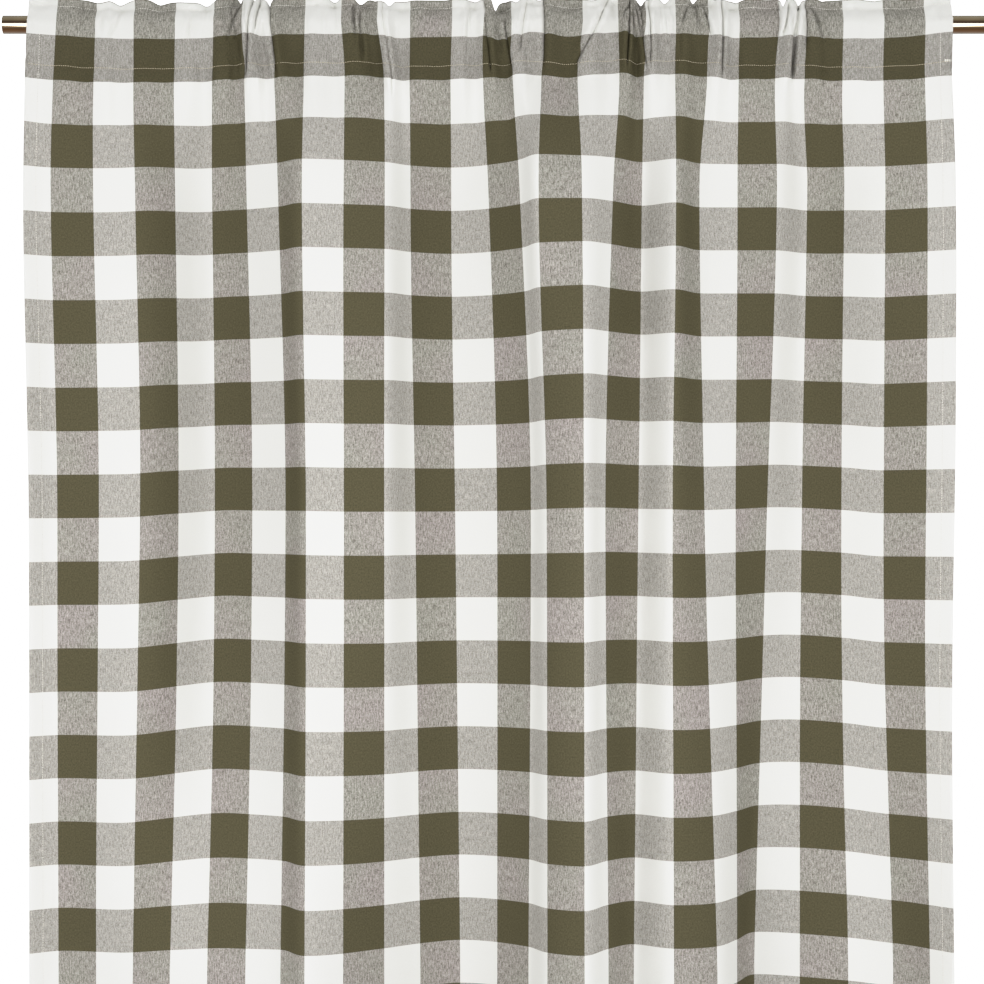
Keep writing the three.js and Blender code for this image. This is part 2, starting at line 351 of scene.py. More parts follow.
# How far the woven rows hang below level: on the rod, just under the pocket, and at 0.2 m and 1.15 m below
# the rod
sag_lines = [
    {"check": 0.0, "rod": -3.9, "pocket": -3.8, "upper": 4, "low": 12},
    {"check": 0.65, "rod": -1.6, "pocket": -0.6, "upper": 4.7, "low": 10.8},
    {"check": 2.15, "rod": 2.3, "pocket": 2.4, "upper": 6.5, "low": 8},
    {"check": 3.65, "rod": 2.9, "pocket": 2.3, "upper": 2, "low": 2},
    {"check": 5.15, "rod": -0.6, "pocket": -1, "upper": -2.7, "low": -1.8},
    {"check": 5.65, "rod": -2.3, "pocket": -2.6, "upper": -2.3, "low": -1.4},
    {"check": 6.65, "rod": 0.8, "pocket": -2.9, "upper": -1.5, "low": -0.8},
    {"check": 7.15, "rod": -2.7, "pocket": -4.5, "upper": -1.1, "low": -0.5},
    {"check": 9.15, "rod": -3.1, "pocket": -5.6, "upper": -0.1, "low": 1},
    {"check": 10.15, "rod": 2.0, "pocket": -0.4, "upper": -0.3, "low": 0.5},
    {"check": 11.65, "rod": 0.4, "pocket": -1, "upper": -0.8, "low": -0.5},
    {"check": 12.75, "rod": 0.6, "pocket": -3, "upper": -1.1, "low": -1.2},
    {"check": 13.1, "rod": 5, "pocket": -3, "upper": -1.3, "low": -1.4},
    {"check": 13.45, "rod": 4.5, "pocket": -3.6, "upper": -1.6, "low": -1.7},
    {"check": 13.75, "rod": -0.5, "pocket": -7, "upper": -1.8, "low": -2},
    {"check": 14.0, "rod": -1, "pocket": -7.4, "upper": -2, "low": -2.2},
    {"check": 14.25, "rod": -5, "pocket": -7.4, "upper": -2.2, "low": -2.5},
    {"check": 14.65, "rod": -3, "pocket": -6, "upper": -2.5, "low": -3},
    {"check": 15.3, "rod": 0, "pocket": -3.6, "upper": -3, "low": -3.6},
    {"check": 16.65, "rod": -5, "pocket": -9, "upper": -4, "low": -5},
    {"check": 17.45, "rod": 1.8, "pocket": -5, "upper": -3.2, "low": -4.2},
    {"check": 18.35, "rod": -3.4, "pocket": -8, "upper": -2.2, "low": -3.3},
    {"check": 19.35, "rod": -2.4, "pocket": -5.8, "upper": -1.2, "low": -2.2},
    {"check": 20.65, "rod": 1.8, "pocket": -1.3, "upper": -2.7, "low": -4},
    {"check": 22.1, "rod": 0, "pocket": -2.8, "upper": -5.3, "low": -7},
    {"check": 23.65, "rod": 2.5, "pocket": 0.2, "upper": -2, "low": -3.5},
    {"check": 24.65, "rod": 2.0, "pocket": 0, "upper": 2, "low": 1},
    {"check": 26.3, "rod": -5.8, "pocket": -6.2, "upper": 0, "low": 3},
]
sag_heights = [16, 68, 200, 1150]
wander = {"across": 7, "across_turn": 0.9, "out": 0.12, "out_turn": 0.7}

# Where the header's top edge dips between its ruffles, or rises if negative: how deep, and how many checks
# wide
header_dips = [
    {"check": 1.68, "deep": 3, "wide": 0.22},
    {"check": 2.25, "deep": 3.9, "wide": 0.15},
    {"check": 2.80, "deep": -2.3, "wide": 0.30},
    {"check": 3.25, "deep": 3.4, "wide": 0.15},
    {"check": 3.80, "deep": 1.2, "wide": 0.25},
    {"check": 4.05, "deep": 1.6, "wide": 0.20},
    {"check": 4.42, "deep": 5.2, "wide": 0.18},
    {"check": 5.53, "deep": 6, "wide": 0.08},
    {"check": 6.09, "deep": 4, "wide": 0.07},
    {"check": 6.60, "deep": 6.4, "wide": 0.09},
    {"check": 8.44, "deep": 5.5, "wide": 0.14},
    {"check": 9.16, "deep": 9.2, "wide": 0.17},
    {"check": 9.60, "deep": 3, "wide": 0.22},
    {"check": 10.00, "deep": 7.5, "wide": 0.13},
    {"check": 12.40, "deep": 1.5, "wide": 0.12},
    {"check": 12.86, "deep": -4.5, "wide": 0.12},
    {"check": 13.10, "deep": 9.5, "wide": 0.09},
    {"check": 13.45, "deep": -2, "wide": 0.15},
    {"check": 13.80, "deep": 4.4, "wide": 0.14},
    {"check": 14.52, "deep": 5, "wide": 0.14},
    {"check": 15.92, "deep": 3.8, "wide": 0.26},
    {"check": 17.25, "deep": -2, "wide": 0.12},
    {"check": 17.52, "deep": 5, "wide": 0.09},
    {"check": 18.32, "deep": 7.2, "wide": 0.15},
    {"check": 19.20, "deep": 7, "wide": 0.10},
    {"check": 19.87, "deep": 2.3, "wide": 0.08},
    {"check": 20.58, "deep": 2.4, "wide": 0.10},
    {"check": 21.05, "deep": -1.5, "wide": 0.35},
    {"check": 21.79, "deep": 8.2, "wide": 0.08},
    {"check": 22.43, "deep": 6.2, "wide": 0.08},
    {"check": 23.12, "deep": 1.5, "wide": 0.10},
    {"check": 24.00, "deep": -2, "wide": 0.90},
    {"check": 24.47, "deep": 0.8, "wide": 0.12},
]

# Creases that the gathering presses into the heading: the place of the head and the foot of each, their
# heights, how sharp and deep it is, and how far the cloth on its left laps over the cloth on its right, or
# the other way if negative
creases = [
    {"head": 1.27, "foot": 1.30, "top": 19, "end": -12, "width": 2.3, "depth": 7, "lap": 0},
    {"head": 1.85, "foot": 1.77, "top": 8, "end": -8, "width": 3.2, "depth": 4, "lap": 0},
    {"head": 2.30, "foot": 2.05, "top": 14, "end": -11, "width": 2.7, "depth": 8, "lap": 0},
    {"head": 3.05, "foot": 3.20, "top": 12, "end": -6, "width": 2.7, "depth": 4, "lap": 0},
    {"head": 4.03, "foot": 3.98, "top": 8, "end": -12, "width": 2.6, "depth": 6, "lap": 0},
    {"head": 4.45, "foot": 4.28, "top": 18, "end": 2, "width": 2.6, "depth": 7, "lap": 0},
    {"head": 5.50, "foot": 5.12, "top": 17, "end": -16, "width": 3.5, "depth": 23, "lap": 0},
    {"head": 5.22, "foot": 5.40, "top": 14, "end": -12, "width": 2.8, "depth": 10, "lap": 0},
    {"head": 5.98, "foot": 5.74, "top": 16, "end": -52, "width": 4.3, "depth": 39, "lap": -3},
    {"head": 6.27, "foot": 6.10, "top": 26, "end": -12, "width": 3.2, "depth": 17, "lap": 0},
    {"head": 6.62, "foot": 6.72, "top": 20, "end": -50, "width": 4.3, "depth": 26, "lap": 4},
    {"head": 8.20, "foot": 8.18, "top": 8, "end": -10, "width": 2.6, "depth": 4, "lap": 0},
    {"head": 8.52, "foot": 8.57, "top": 15, "end": -8, "width": 2.6, "depth": 7, "lap": 0},
    {"head": 8.98, "foot": 9.00, "top": 16, "end": -16, "width": 3.5, "depth": 17, "lap": 0},
    {"head": 9.16, "foot": 9.10, "top": 8, "end": -42, "width": 3.2, "depth": 13, "lap": 0},
    {"head": 9.80, "foot": 9.90, "top": 20, "end": -64, "width": 4.3, "depth": 28, "lap": 5},
    {"head": 12.18, "foot": 12.12, "top": 12, "end": -12, "width": 2.6, "depth": 7, "lap": 0},
    {"head": 12.70, "foot": 12.88, "top": 24, "end": -46, "width": 4.1, "depth": 28, "lap": 4},
    {"head": 13.45, "foot": 13.60, "top": 2, "end": -46, "width": 4.1, "depth": 31, "lap": -4},
    {"head": 14.12, "foot": 13.95, "top": 17, "end": -26, "width": 3.8, "depth": 20, "lap": -3},
    {"head": 14.66, "foot": 14.70, "top": 20, "end": -46, "width": 4.6, "depth": 23, "lap": 3},
    {"head": 16.28, "foot": 15.66, "top": 19, "end": -44, "width": 4.3, "depth": 17, "lap": -3},
    {"head": 17.02, "foot": 16.78, "top": 22, "end": -2, "width": 2.5, "depth": 13, "lap": 0},
    {"head": 17.05, "foot": 16.95, "top": 20, "end": -42, "width": 3.5, "depth": 36, "lap": 2},
    {"head": 17.17, "foot": 17.19, "top": 22, "end": -6, "width": 2.3, "depth": 10, "lap": 0},
    {"head": 17.25, "foot": 17.48, "top": 20, "end": -14, "width": 2.5, "depth": 13, "lap": 0},
    {"head": 17.44, "foot": 17.70, "top": 18, "end": -46, "width": 3.5, "depth": 26, "lap": 3},
    {"head": 17.78, "foot": 17.86, "top": 14, "end": -44, "width": 3.5, "depth": 23, "lap": -2},
    {"head": 18.36, "foot": 18.45, "top": 6, "end": -28, "width": 3.2, "depth": 10, "lap": 0},
    {"head": 19.00, "foot": 18.85, "top": 16, "end": -4, "width": 2.9, "depth": 10, "lap": 0},
    {"head": 19.28, "foot": 19.34, "top": 18, "end": -10, "width": 3.2, "depth": 13, "lap": 0},
    {"head": 19.48, "foot": 19.72, "top": 16, "end": -14, "width": 3.5, "depth": 15, "lap": 2},
    {"head": 20.08, "foot": 20.12, "top": 20, "end": -50, "width": 3.2, "depth": 31, "lap": 2},
    {"head": 21.66, "foot": 21.62, "top": 22, "end": -16, "width": 3, "depth": 13, "lap": 0},
    {"head": 21.98, "foot": 21.80, "top": 20, "end": -12, "width": 3.2, "depth": 15, "lap": 0},
    {"head": 22.40, "foot": 22.24, "top": 22, "end": -12, "width": 3.2, "depth": 23, "lap": 0},
    {"head": 22.24, "foot": 22.25, "top": -14, "end": -60, "width": 4.3, "depth": 31, "lap": 0},
    {"head": 22.64, "foot": 22.66, "top": 20, "end": -20, "width": 3.5, "depth": 15, "lap": 2},
    {"head": 22.82, "foot": 23.15, "top": 16, "end": -18, "width": 3.2, "depth": 15, "lap": 0},
    {"head": 24.72, "foot": 24.74, "top": 12, "end": -10, "width": 2.5, "depth": 5, "lap": 0},
    {"head": 25.05, "foot": 25.06, "top": 15, "end": -6, "width": 2.6, "depth": 5, "lap": 0},
    {"head": 25.42, "foot": 25.38, "top": 12, "end": -6, "width": 2.6, "depth": 6, "lap": 0},
]


def smooth_through(places, values):
    """A smooth curve through the points that never swings past them."""
    last = len(places) - 1
    rise = [(values[k + 1] - values[k]) / (places[k + 1] - places[k]) for k in range(last)]
    slope = [rise[0]]
    for before, after in zip(rise, rise[1:]):
        slope.append(2 * before * after / (before + after) if before * after > 0 else 0)
    slope.append(rise[-1])

    def curve(place):
        place = min(max(place, places[0]), places[last])
        k = min(bisect_right(places, place) - 1, last - 1)
        span = places[k + 1] - places[k]
        t = (place - places[k]) / span
        near = (1 + 2 * t) * (1 - t) ** 2 * values[k] + t * (1 - t) ** 2 * span * slope[k]
        far = t * t * (3 - 2 * t) * values[k + 1] - t * t * (1 - t) * span * slope[k + 1]
        return near + far

    return curve


def smooth_step(start, end, value):
    """0 at the start and 1 at the end, with a soft run between."""
    t = min(max((value - start) / (end - start), 0), 1)
    return t * t * (3 - 2 * t)


def blend(near, far, share):
    """A value part of the way from near to far."""
    return near + (far - near) * share


fold_places = [line["check"] for line in fold_lines]
line_across = [smooth_through(across_heights, line["across"]) for line in fold_lines]
line_out = [smooth_through(out_heights, line["out"]) for line in fold_lines]
sag_places = [line["check"] for line in sag_lines]
line_sag = [
    smooth_through(sag_heights, [line["rod"], line["pocket"], line["upper"], line["low"]])
    for line in sag_lines
]


@lru_cache(maxsize=None)
def folds_at(drop):
    """The folds at one height below the rod's axis: three curves over the place in checks."""
    below = smooth_step(out_heights[-1], full_length, drop)
    across = smooth_through(fold_places, [line(drop) for line in line_across])
    out = smooth_through(fold_places, [line(drop) for line in line_out])
    sag = smooth_through(sag_places, [line(drop) for line in line_sag])
    return (
        lambda place: across(place) + below * wander["across"] * math.sin(place * wander["across_turn"]),
        lambda place: out(place) * (1 + below * wander["out"] * math.cos(place * wander["out_turn"])),
        sag,
    )


@lru_cache(maxsize=None)
def ruffle(place):
    """How far the cloth stands off the rod's plane at the heading, to take up what the folds don't use."""
    across = folds_at(0)[0]
    shown = across(place + 0.5) - across(place - 0.5)
    inside = 0.6 < place < checks_across - 0.6
    width = min(shown, check_mm * 0.985) if inside else check_mm * 0.985
    height = width / math.pi * math.sqrt(check_mm / width - 1)
    turn = 2 * math.pi * (place - first_check)
    uneven = noise.noise(Vector((place * 0.9, 3.1, 0)))
    return height * (0.7 * math.sin(turn) + 0.5 * uneven * math.sin(2 * turn + 4 * uneven))


@lru_cache(maxsize=None)
def creases_near(place):
    """The creases whose reach takes in one place."""
    found = []
    for crease in creases:
        reach = 7 * crease["width"] / check_mm
        if min(crease["head"], crease["foot"]) - reach < place < max(crease["head"], crease["foot"]) + reach:
            found.append(crease)
    return found


def crease_shift(place, z):
    """How far the creases move the cloth to the room and along the rod. Beside each the cloth stands out."""
    out = along = 0.0
    for crease in creases_near(place):
        down = (crease["top"] - z) / (crease["top"] - crease["end"])
        if not -0.3 < down < 1.35:
            continue
        fade = smooth_step(-0.3, 0.1, down) * (1 - smooth_step(0.7, 1.35, down))
        off = (place - blend(crease["head"], crease["foot"], down)) * check_mm / crease["width"]
        cleft = 1.3 * math.exp(0.2 - math.sqrt(off * off + 0.04))
        puff = 0.85 * math.exp(-off * off / 9)
        bell = math.exp(-off * off)
        out += fade * (crease["depth"] * (puff - cleft) - crease["lap"] * off * bell)
        along -= fade * abs(crease["lap"]) * off * bell * 1.5
    return out, along


def pucker(place, z):
    """How far the two rows of stitching draw the cloth up into small waves."""
    near = math.exp(-(((z - header_stitch + 3) / 8) ** 2)) + 0.5 * math.exp(-(((z - pocket_stitch) / 6) ** 2))
    wide = noise.noise(Vector((place * 4, z * 0.05, 2.6)))
    fine = noise.noise(Vector((place * 8, z * 0.09, 0.4)))
    return near * (5 * wide + 3 * fine)


@lru_cache(maxsize=None)
def tightness(place):
    """How tightly the rod's pocket is gathered at one place: 0 where the cloth hangs flat."""
    across = folds_at(0)[0]
    return min(max(1 - (across(place + 0.4) - across(place - 0.4)) / (0.8 * check_mm), 0), 0.5)


def crumple(place, z):
    """Small sharp random creases in the gathers, which fade out below the pocket."""
    fading = 1 - smooth_step(30, 110, -z)
    if fading == 0:
        return 0
    first = noise.noise(Vector((place * 2.4, z * 0.012 + place * 0.4, 8.1)))
    second = noise.noise(Vector((place * 3.7 + z * 0.01, z * 0.02, 1.7)))
    valleys = math.exp(-abs(first) / 0.07) + 0.7 * math.exp(-abs(second) / 0.08)
    return -9 * fading * tightness(place) * valleys


def round_the_rod(z, sag):
    """How far each layer of the pocket stands from the axis: straight from the stitches, round on the rod."""
    wrap = rod_radius + rod_clearance + cloth_thickness / 2
    seam = (header_stitch if z > 0 else pocket_stitch) - sag
    leave = wrap * wrap / seam
    if abs(z - sag) <= abs(leave):
        return math.sqrt(wrap * wrap - (z - sag) ** 2)
    return max(math.sqrt(wrap * wrap - leave * leave) * (seam - z + sag) / (seam - leave), 0)


def beside_rod(z):
    """1 where the rod keeps a ruffle from going back, and 0 at the two seams."""
    if z > 0:
        return 1 - smooth_step(13, header_stitch, z)
    return 1 - min(max((-17 - z) / (-17 - pocket_stitch), 0), 1)


def layer_line(place, z, layer):
    """The middle of the cloth at one place, seen from above. layer: -1 the pocket's front, 1 its back."""
    across, out, sag = folds_at(max(-z, 0))
    ruffled = 1 - smooth_step(-pocket_stitch, -ruffles_end, -z)
    creased, along = crease_shift(place, z)
    wavy = 1.6 * noise.noise(Vector((place * 0.9, z * 0.006, 5.2))) * smooth_step(-60, -150, z)
    waves = out(place) + ruffle(place) * ruffled + wavy
    creased += pucker(place, z) + crumple(place, z)
    if header_stitch >= z >= pocket_stitch:
        softly = math.sqrt(waves * waves + 1.0)
        pressed = (waves + softly) / 2 + creased if layer < 0 else (waves - softly) / 2 + creased / 2
        pressed += -layer * (math.sqrt(pressed * pressed + 0.4) - abs(pressed)) / 2
        pressed = max(pressed, 0) if layer < 0 else min(pressed, 0)
        waves = blend(waves + creased, pressed, beside_rod(z)) - layer * round_the_rod(z, sag(place))
    else:
        waves += creased
    return Vector((across(place) + along, -waves))


def hem_room(place):
    """The side hems' own layers push the pocket's layers apart."""
    nearest = min(place, checks_across - place) * check_mm
    return 1 - smooth_step(side_hem, side_hem + 12, nearest)


def cloth_point(place, z, layer=0, lift=0.0, up=0.0):
    """A point of the cloth in metres. lift moves it off the cloth's middle, towards its right side."""
    step = 0.02
    low, high = max(place - step, 0), min(place + step, checks_across)
    run = (layer_line(high, z, layer) - layer_line(low, z, layer)).normalized()
    side = Vector((run.y, -run.x))
    apart = 0.0
    if layer != 0:
        near_seam = 1 - smooth_step(-turned_edge, -layers_meet, -z)
        apart = near_seam * (cloth_thickness + layer_gap) * (0.5 + hem_room(place))
        if z > header_stitch:
            apart += 0.8 * math.sin(math.pi * smooth_step(header_stitch, header_top + 1, z))
    at = layer_line(place, z, layer) + side * (lift if layer <= 0 else -lift)
    at.y += layer * apart
    if z > header_stitch - 4:
        lean = 3 * noise.noise(Vector((place * 1.7, 4.4, 0))) + 0.45 * header_dip(place)
        at.y += lean * smooth_step(header_stitch - 4, header_top + 3, z)
    sag = folds_at(max(-z, 0))[2](place)
    return Vector((at.x, at.y, z - sag + up)) * MM


def header_dip(place):
    """How far the header's top edge sinks below its highest ruffles."""
    return sum(dip["deep"] * math.exp(-(((place - dip["check"]) / dip["wide"]) ** 2)) for dip in header_dips)


def header_wave(place):
    """How far the header's top edge rises and dips."""
    return 0.8 * noise.noise(Vector((place * 3.1, 7.7, 0))) - header_dip(place)


def thread_at(z):
    """How far down the face one height is, in woven length from where the white row below the rod starts."""
    drop = -z
    if z > rod_row:
        return -check_height * (1 + (z - rod_row) / (header_top - 0.8 - rod_row))
    if z > first_row:
        return -check_height * (z - first_row) / (rod_row - first_row)
    return drop + first_row + 4.5 * smooth_step(-first_row, 180, drop)


def stretch(start, end, steps):
    """Even steps from the start up to, but without, the end."""
    return [start + (end - start) * k / steps for k in range(steps)]


# The rows of the cloth, from the turned edge behind the pocket, over the header's top and down the front to
# the foot, then up the back of the bottom hem. Each has a height, a layer, and its place along the thread
fin_top = header_top - 1.2
back_heights = stretch(turned_edge, pocket_stitch, 1) + stretch(pocket_stitch, -14, 4)
back_heights += stretch(-14, 14, 5) + stretch(14, header_stitch, 1) + stretch(header_stitch, fin_top, 1)
front_heights = stretch(fin_top, header_stitch, 3) + stretch(header_stitch, 13, 3) + stretch(13, -14, 8)
front_heights += stretch(-14, pocket_stitch, 8) + stretch(pocket_stitch, layers_meet, 8)
tail_heights = stretch(layers_meet, -200, 7) + stretch(-200, -620, 12) + stretch(-620, -1200, 14)
hem_line = -full_length + bottom_hem
tail_heights += stretch(-1200, hem_line, 16) + stretch(hem_line, -full_length + foot_round, 2)
hem_heights = stretch(-full_length + foot_round, hem_line, 2) + [hem_line]
top_thread = thread_at(header_top)
foot_thread = thread_at(-full_length)

rows = [{"z": z, "layer": 1, "thread": 2 * top_thread - thread_at(z) - 3} for z in back_heights]
rows += [{"z": fin_top, "layer": 1, "thread": top_thread - 3}]
rows += [{"z": header_top, "layer": 0, "thread": top_thread - 1.2}]
rows += [{"z": z, "layer": -1, "thread": thread_at(z)} for z in front_heights]
rows += [{"z": z, "layer": 0, "thread": thread_at(z)} for z in tail_heights]
rows += [{"z": -full_length, "layer": 0, "thread": foot_thread + 1, "lift": -0.5}]
rows += [
    {"z": z, "layer": 0, "thread": 2 * foot_thread - thread_at(z) + 2, "lift": -cloth_thickness - layer_gap}
    for z in hem_heights
]


def crowding(place):
    """How close the columns of the mesh stand: closest at the creases."""
    near = sum(math.exp(-(((place - crease["foot"]) * check_mm / 8) ** 2)) for crease in creases)
    near += sum(math.exp(-(((place - crease["head"]) * check_mm / 8) ** 2)) for crease in creases)
    return 1 + 1.7 * min(near, 1)


hem_checks = side_hem / check_mm
fold_round = 0.012
inner_columns = 322
samples = 2000
inner_start, inner_end = hem_checks, checks_across - hem_checks
steps = [blend(inner_start, inner_end, (k + 0.5) / samples) for k in range(samples)]
total = sum(crowding(place) for place in steps)
columns = [-hem_checks * k / 4 for k in range(4, 0, -1)] + [-fold_round, 0.0, fold_round]
columns += [hem_checks * k / 4 for k in range(1, 4)] + [inner_start]
gathered = 0.0
for place in steps:
    gathered += crowding(place) / total * inner_columns
    if gathered >= 1:
        columns.append(place)
        gathered -= 1
columns += [inner_end] + [checks_across - hem_checks * k / 4 for k in range(3, 0, -1)]
columns += [checks_across - fold_round, checks_across, checks_across + fold_round]
columns += [checks_across + hem_checks * k / 4 for k in range(1, 5)]

heading_rows = len(back_heights) + 2 + len(front_heights)
bm = bmesh.new()
bmesh.ops.create_grid(bm, x_segments=len(columns) - 1, y_segments=len(rows) - 1, size=0.5)
for vertex in bm.verts:
    vertex.co.x = round((vertex.co.x + 0.5) * (len(columns) - 1))
    vertex.co.y = round((0.5 - vertex.co.y) * (len(rows) - 1))
crosswise = [edge for edge in bm.edges if edge.verts[0].co.y == edge.verts[1].co.y < heading_rows]
bmesh.ops.subdivide_edges(bm, edges=crosswise, cuts=1, use_grid_fill=True)


def place_of(vertex):
    """The place in the cloth of a vertex of the flat grid, in checks."""
    column = int(vertex.co.x)
    after = min(column + 1, len(columns) - 1)
    return blend(columns[column], columns[after], vertex.co.x - column)


weave_map = bm.loops.layers.uv.new("weave")
for face in bm.faces:
    for loop in face.loops:
        thread = rows[round(loop.vert.co.y)]["thread"]
        loop[weave_map].uv = (place_of(loop.vert) - first_check, thread / check_height)
for vertex in bm.verts:
    place, line = place_of(vertex), rows[round(vertex.co.y)]
    inside = min(max(place, 0), checks_across)
    lift = line.get("lift", 0.0)
    if abs(place - inside) > 0:
        lift -= cloth_thickness + layer_gap
    elif place in (0.0, checks_across):
        lift -= (cloth_thickness + layer_gap) / 2
    mirrored = 2 * inside - place
    up = header_wave(mirrored) * smooth_step(header_stitch - 8, header_top, line["z"])
    vertex.co = cloth_point(mirrored, line["z"], line["layer"], lift, up)
panel = piece_from(bm, "curtain_panel_cloth")
solid = panel.modifiers.new("thickness", "SOLIDIFY")
solid.thickness = cloth_thickness * MM
solid.offset = 0
print("panel", len(columns), "columns", len(rows), "rows", len(panel.data.polygons) * 4, "triangles")

# Yarns of the cloth: an olive brown and a white, with as many threads in a check each way. The checks where
# both yarns meet look like heather, and their white yarn is darkened by the brown beside it. The heading's
# cloth is doubled, so less light comes through it from behind: painted shade makes all of the heading's
# colour a little darker for that, and its brown rows most.
threads_per_check = 64
brown_yarn = (0.100, 0.089, 0.051, 1)
white_yarn = (0.87, 0.87, 0.83, 1)
heather_light = (0.655, 0.612, 0.586, 1)
heather_dark = (0.118, 0.108, 0.086, 1)
across_yarn_lift = (1.18, 1.215, 1.20, 1)

cotton, tree, shader = new_material("checked_cotton")
weave = add_node(tree, "UVMap", {"uv_map": "weave"}).outputs[0]
split = add_node(tree, "SeparateXYZ", _0=weave)
across_cloth, down_cloth = split.outputs["X"], split.outputs["Y"]
warp_brown = calculate(tree, "LESS_THAN", calculate(tree, "FLOORED_MODULO", across_cloth, 2.0), 1.0)
weft_brown = calculate(tree, "GREATER_THAN", calculate(tree, "FLOORED_MODULO", down_cloth, 2.0), 1.0)
both = calculate(tree, "MULTIPLY", warp_brown, weft_brown)
either = calculate(tree, "MAXIMUM", warp_brown, weft_brown)
mixed = calculate(tree, "SUBTRACT", either, both)
warp_count = calculate(tree, "MULTIPLY", across_cloth, threads_per_check)
weft_count = calculate(tree, "MULTIPLY", down_cloth, threads_per_check)
warp_number = calculate(tree, "FLOOR", warp_count)
weft_number = calculate(tree, "FLOOR", weft_count)
crossing = add_node(tree, "CombineXYZ", None, _0=warp_number, _1=weft_number).outputs[0]
over = calculate(tree, "FLOORED_MODULO", calculate(tree, "ADD", warp_number, weft_number), 2.0)
chance = add_node(tree, "TexWhiteNoise", {"noise_dimensions": "2D"}, Vector=crossing).outputs["Value"]
slub_place = add_node(tree, "Mapping", None, _0=weave, _3=(34, 7, 1)).outputs[0]
slub = add_node(tree, "TexNoise", None, Vector=slub_place, Scale=1.0, Detail=3.0, Roughness=0.65).outputs[0]
fleck_place = add_node(tree, "Mapping", None, _0=weave, _3=(30, 24, 1)).outputs[0]
fleck = add_node(tree, "TexNoise", None, Vector=fleck_place, Scale=1.0, Detail=2.0, Roughness=0.7).outputs[0]
patch = add_node(tree, "TexNoise", None, Vector=weave, Scale=0.45, Detail=2.0).outputs["Fac"]
light_share = calculate(tree, "MULTIPLY_ADD", over, 0.16, 0.02)
speckle = calculate(tree, "MULTIPLY_ADD", slub, 1.5, -0.75)
speckle = calculate(tree, "ADD", speckle, calculate(tree, "MULTIPLY_ADD", fleck, 1.0, -0.5))
speckle = calculate(tree, "MULTIPLY", speckle, calculate(tree, "MULTIPLY_ADD", weft_brown, -0.35, 1.0))
light_share = calculate(tree, "ADD", light_share, speckle)
light_share = calculate(tree, "ADD", light_share, calculate(tree, "MULTIPLY_ADD", chance, 0.22, 0.22))
light_share = add_node(tree, "Clamp", None, _0=light_share).outputs[0]
heather = mix_colours(tree, light_share, heather_dark, heather_light)
greener_top = add_node(tree, "MapRange", None, _0=down_cloth, _1=-1.0, _2=6.0, _3=0.16, _4=0.0).outputs[0]
patch = calculate(tree, "ADD", patch, greener_top)
tint = add_node(tree, "MapRange", None, _0=patch, _1=0.35, _2=0.65).outputs[0]
tinted = mix_colours(tree, tint, (1.01, 0.985, 0.995, 1), (0.955, 0.99, 0.94, 1))
lifted = mix_colours(tree, weft_brown, tinted, across_yarn_lift)
heather = multiply_colours(tree, heather, lifted)
plain = mix_colours(tree, both, white_yarn, brown_yarn)
grain_width = calculate(tree, "MULTIPLY_ADD", both, 0.30, 0.02)
grain = calculate(tree, "MULTIPLY", calculate(tree, "MULTIPLY_ADD", fleck, 4.0, -2.0), grain_width)
grain = calculate(tree, "ADD", grain, 1.0)
plain = multiply_colours(tree, plain, grain)
cloth_colour = mix_colours(tree, mixed, plain, heather)
# Painted shade: the doubled heading's colour is made darker, its brown rows most, for the light that does not
# come through it from behind
in_heading = calculate(tree, "LESS_THAN", down_cloth, 0.0)
heading_painted_shade = calculate(tree, "MULTIPLY", in_heading, calculate(tree, "MULTIPLY_ADD", weft_brown, -0.08, -0.10))
heading_shaded_colour = multiply_colours(tree, cloth_colour, calculate(tree, "ADD", heading_painted_shade, 1.0))
tree.links.new(heading_shaded_colour, shader.inputs["Base Color"])
warp_round = calculate(tree, "SINE", calculate(tree, "MULTIPLY", warp_count, math.pi))
weft_round = calculate(tree, "SINE", calculate(tree, "MULTIPLY", weft_count, math.pi))
warp_round, weft_round = calculate(tree, "ABSOLUTE", warp_round), calculate(tree, "ABSOLUTE", weft_round)
thread_height = calculate(tree, "MULTIPLY", warp_round, weft_round)
thread_height = calculate(tree, "MULTIPLY_ADD", slub, 0.6, thread_height)
bump = add_node(tree, "Bump", None, Height=thread_height, Strength=0.35, Distance=0.00025).outputs[0]
tree.links.new(bump, shader.inputs["Normal"])
shader.inputs["Roughness"].default_value = 0.92
shader.inputs["Specular IOR Level"].default_value = 0.02
panel.data.materials.append(cotton)

# Stitching
# Lockstitched sewing thread, tan under the rod and nearly white elsewhere: one row below the header's top,
# one below the rod, and one along each hem, with a short bar tack on the right side hem at the pocket's
# lower corner. The rows show on both faces of the cloth, and the bar tack on its front.
stitch_pitch = 2.9
stitch_length = 2.4
stitch_radius = 0.42
longest_stitch = 2.9
tan_thread = (0.60, 0.53, 0.39, 1)
pale_thread = (0.84, 0.82, 0.76, 1)
face_lift = cloth_thickness / 2 + 0.12


def sew(name, stitches, thread, radius=stitch_radius):
    """Makes a seam of stitches, each a small bead of thread drawn out between two points of the cloth."""
    bm = bmesh.new()
    for first in range(0, len(stitches), 60):
        few = bmesh.new()
        for start, end in stitches[first : first + 60]:
            run = end - start
            turn = run.to_track_quat("X", "Z").to_matrix().to_4x4()
            size = Matrix.Diagonal((min(run.length, longest_stitch * MM) / 2, radius * MM, radius * MM, 1))
            middle = Matrix.Translation((start + end) / 2)
            bmesh.ops.create_icosphere(few, subdivisions=1, radius=1, matrix=middle @ turn @ size)
        few_mesh = bpy.data.meshes.new("few")
        few.to_mesh(few_mesh)
        few.free()
        bm.from_mesh(few_mesh)
        bpy.data.meshes.remove(few_mesh)
    seam = piece_from(bm, name)
    seam.data.materials.append(thread)
    return seam


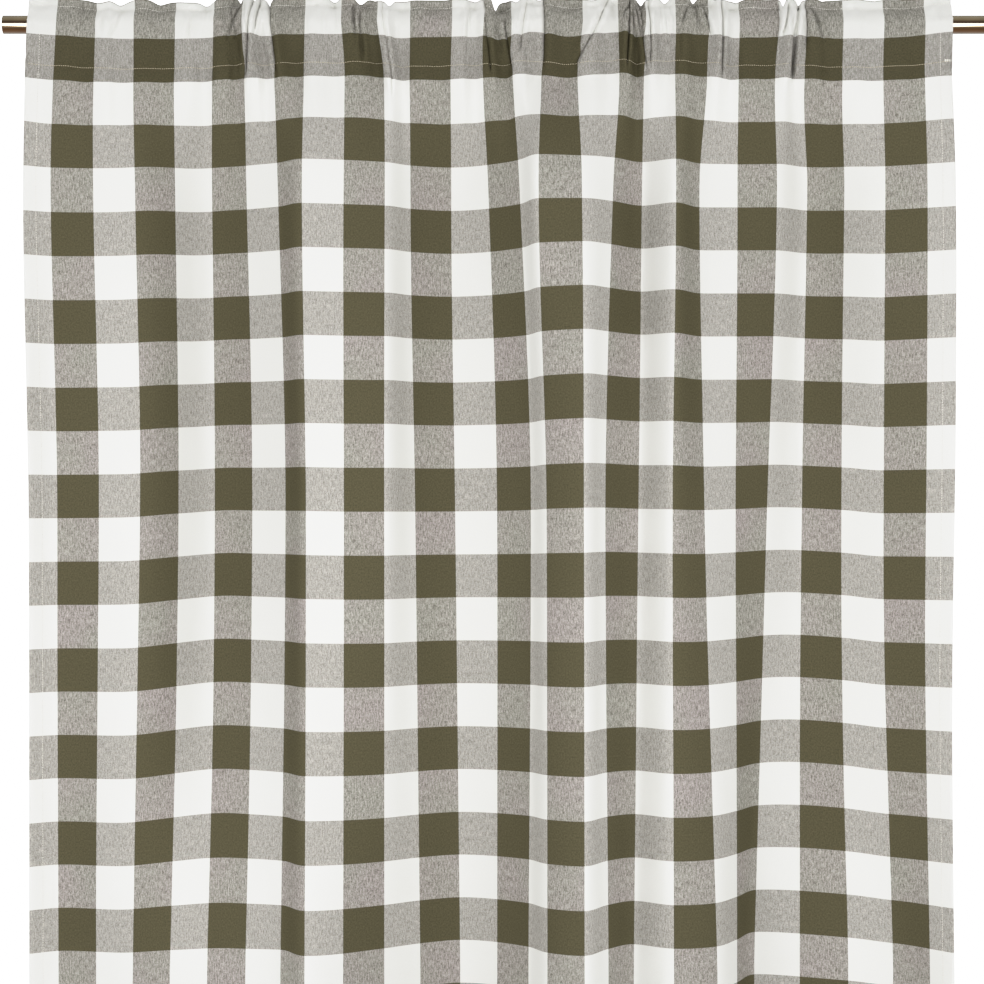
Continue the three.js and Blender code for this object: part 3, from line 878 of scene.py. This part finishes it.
def stitch_row(z, layer, behind=False):
    """The stitches along the cloth at one height, on the outside of a layer or behind the turned hem."""
    start, end = 0.05, checks_across - 0.05
    count = int((end - start) * check_mm / stitch_pitch)
    half = stitch_length / check_mm / 2
    lift = -face_lift - cloth_thickness - layer_gap if behind else face_lift
    found = []
    for k in range(count):
        place = start + (k + 0.5) * stitch_pitch / check_mm
        up = header_wave(place) * smooth_step(header_stitch - 8, header_top, z)
        wobble = 0.5 * noise.noise(Vector((place * 1.5, 9.4, 0)))
        near = cloth_point(place - half, z + wobble, layer, lift, up)
        far = cloth_point(place + half, z + wobble, layer, lift, up)
        found.append((near, far))
    return found


def stitch_column(place, top, end, behind=False):
    """The stitches down a side hem, on the face or behind the turned hem."""
    lift = -face_lift - cloth_thickness - layer_gap if behind else face_lift
    found = []
    for k in range(int((top - end) / stitch_pitch)):
        z = top - (k + 0.5) * stitch_pitch
        layer = -1 if z > layers_meet else 0
        near = cloth_point(place, z + stitch_length / 2, layer, lift)
        far = cloth_point(place, z - stitch_length / 2, layer, lift)
        found.append((near, far))
    return found


def thread_material(name, colour):
    """Twisted sewing thread of one colour."""
    material, tree, shader = new_material(name)
    place = add_node(tree, "TexCoord").outputs["Object"]
    twist = add_node(tree, "TexNoise", None, Vector=place, Scale=700.0, Detail=2.0).outputs["Fac"]
    tone = add_node(tree, "MapRange", None, _0=twist, _1=0.3, _2=0.7, _3=0.8, _4=1.15).outputs[0]
    tree.links.new(multiply_colours(tree, colour, tone), shader.inputs["Base Color"])
    bump = add_node(tree, "Bump", None, Height=twist, Strength=0.3, Distance=0.0001).outputs[0]
    tree.links.new(bump, shader.inputs["Normal"])
    shader.inputs["Roughness"].default_value = 0.6
    shader.inputs["Specular IOR Level"].default_value = 0.15
    return material


tan = thread_material("tan_sewing_thread", tan_thread)
pale = thread_material("pale_sewing_thread", pale_thread)
seams = [
    sew("header_stitches", stitch_row(header_stitch, -1) + stitch_row(header_stitch, 1), pale),
    sew("pocket_stitches", stitch_row(pocket_stitch, -1) + stitch_row(pocket_stitch, 1), tan),
]

hem_column = 15.5 / check_mm
side_stitches = []
for column in (hem_column, checks_across - hem_column):
    side_stitches += stitch_column(column, pocket_stitch + 36, -full_length + 3)
    side_stitches += stitch_column(column, turned_edge - 2, hem_line - 2, behind=True)
seams.append(sew("side_hem_stitches", side_stitches, pale))
foot_stitches = stitch_row(hem_line - 4, 0) + stitch_row(hem_line - 4, 0, behind=True)
seams.append(sew("foot_hem_stitches", foot_stitches, pale))

tack_places = [checks_across - off / check_mm for off in (10.2, 7.7, 5.2, 2.7, 0.3)]
tack_heights = (-48.5, -49, -49.5, -50, -50.5)
tack_stitches = []
for z in tack_heights:
    points = [cloth_point(place, z, -1, face_lift + 0.3) for place in tack_places]
    tack_stitches += list(zip(points, points[1:]))
seams.append(sew("bar_tack", tack_stitches, pale, radius=0.5))

for seam in seams:
    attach(seam, "root")
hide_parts("curtain_panel")
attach(panel, "root")
